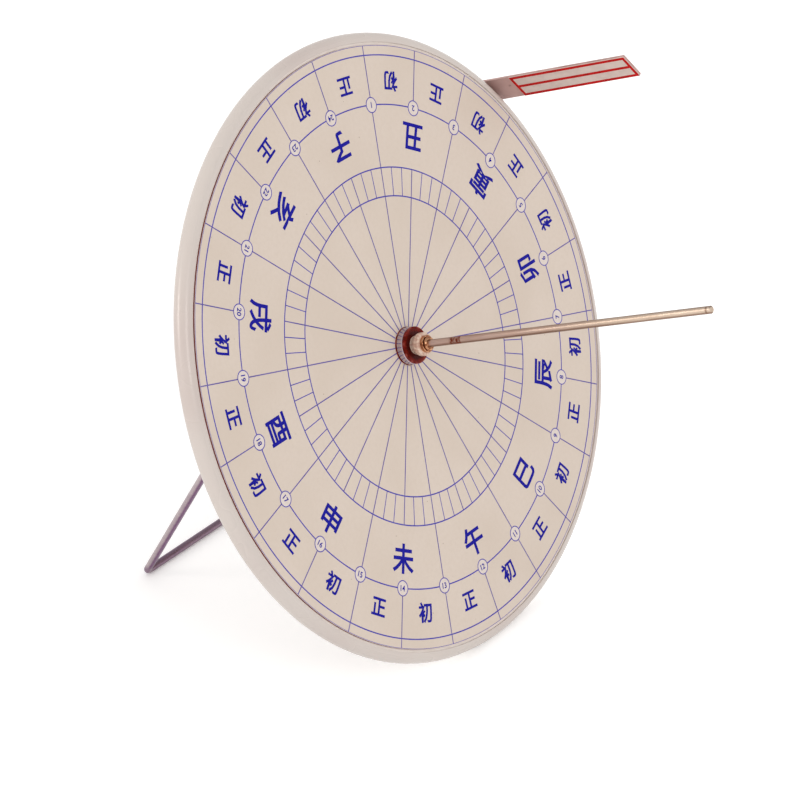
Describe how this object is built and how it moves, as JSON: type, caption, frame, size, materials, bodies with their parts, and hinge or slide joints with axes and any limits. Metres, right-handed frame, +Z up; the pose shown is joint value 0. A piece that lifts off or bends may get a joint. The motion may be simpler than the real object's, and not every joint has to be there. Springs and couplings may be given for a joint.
{
  "type": "equatorial sundial",
  "caption": "Round equatorial dial board leaning on a folding wire bail, with a straight sliding gnomon through its hub and a target arm that swings round it.",
  "frame": {"origin": "on the table, under the centre of the object's box", "axes": "+X towards the dial's six o'clock side, -Y towards the gnomon's tip, +Z up; the dial board leans back 23 degrees from upright"},
  "size_m": [0.25, 0.2368, 0.2307],
  "materials": {
    "board_white": "moulded white ABS, satin",
    "sheet_printed": "printed card under a matt film",
    "brass_tube": "turned",
    "red_fibre": "vulcanised fibre",
    "collar_nickel": "turned and polished nickel plate",
    "nut_white": "moulded",
    "brass_ring": "turned",
    "rod_brass": "drawn rod, dull",
    "arm_steel": "rolled strip, dull",
    "label_paper": "paper label",
    "zinc_steel": "zinc plated",
    "spring_steel": "hardened",
    "brass_nut": "machined",
    "bail_steel": "drawn wire",
    "lug_white": "moulded",
    "ink_blue": "printed ink",
    "ink_red": "printed ink"
  },
  "bodies": {
    "board": {"dial_body": "board_white", "dial_sheet": "sheet_printed", "hub_tube": "brass_tube", "sheet_washer": "red_fibre", "hub_collar": "collar_nickel", "front_washer": "red_fibre", "rear_washer": "red_fibre", "arm_washer": "zinc_steel", "spring_washer": "spring_steel", "lock_nut": "brass_nut", "left_lug": "lug_white", "right_lug": "lug_white", "lug_screws": "zinc_steel"},
    "target": {"target_arm": "arm_steel", "target_label": "label_paper"},
    "gnomon": {"gnomon_rod": "rod_brass"},
    "clamp_nut": {"thumb_nut": "nut_white", "collet_ring": "brass_ring"},
    "bail": {"bail_wire": "bail_steel"}
  },
  "joints": [
    {"name": "bail_fold", "type": "hinge", "parent": "board", "child": "bail", "pos_m": [0, 0.03528, 0.12265], "axis": [-1, 0, 0], "range_deg": [0, 56]},
    {"name": "target_swing", "type": "hinge", "parent": "board", "child": "target", "pos_m": [0, 0.02775, 0.11335], "axis": [0, -0.9205, 0.3907], "range_deg": [-13, 125]},
    {"name": "gnomon_slide", "type": "slide", "parent": "board", "child": "gnomon", "axis": [0, 0.9205, -0.3907], "range_m": [0, 0.125]},
    {"name": "clamp_nut_turn", "type": "hinge", "parent": "board", "child": "clamp_nut", "pos_m": [0, 0.01284, 0.11968], "axis": [0, -0.9205, 0.3907], "range_deg": [0, 180]}
  ]
}
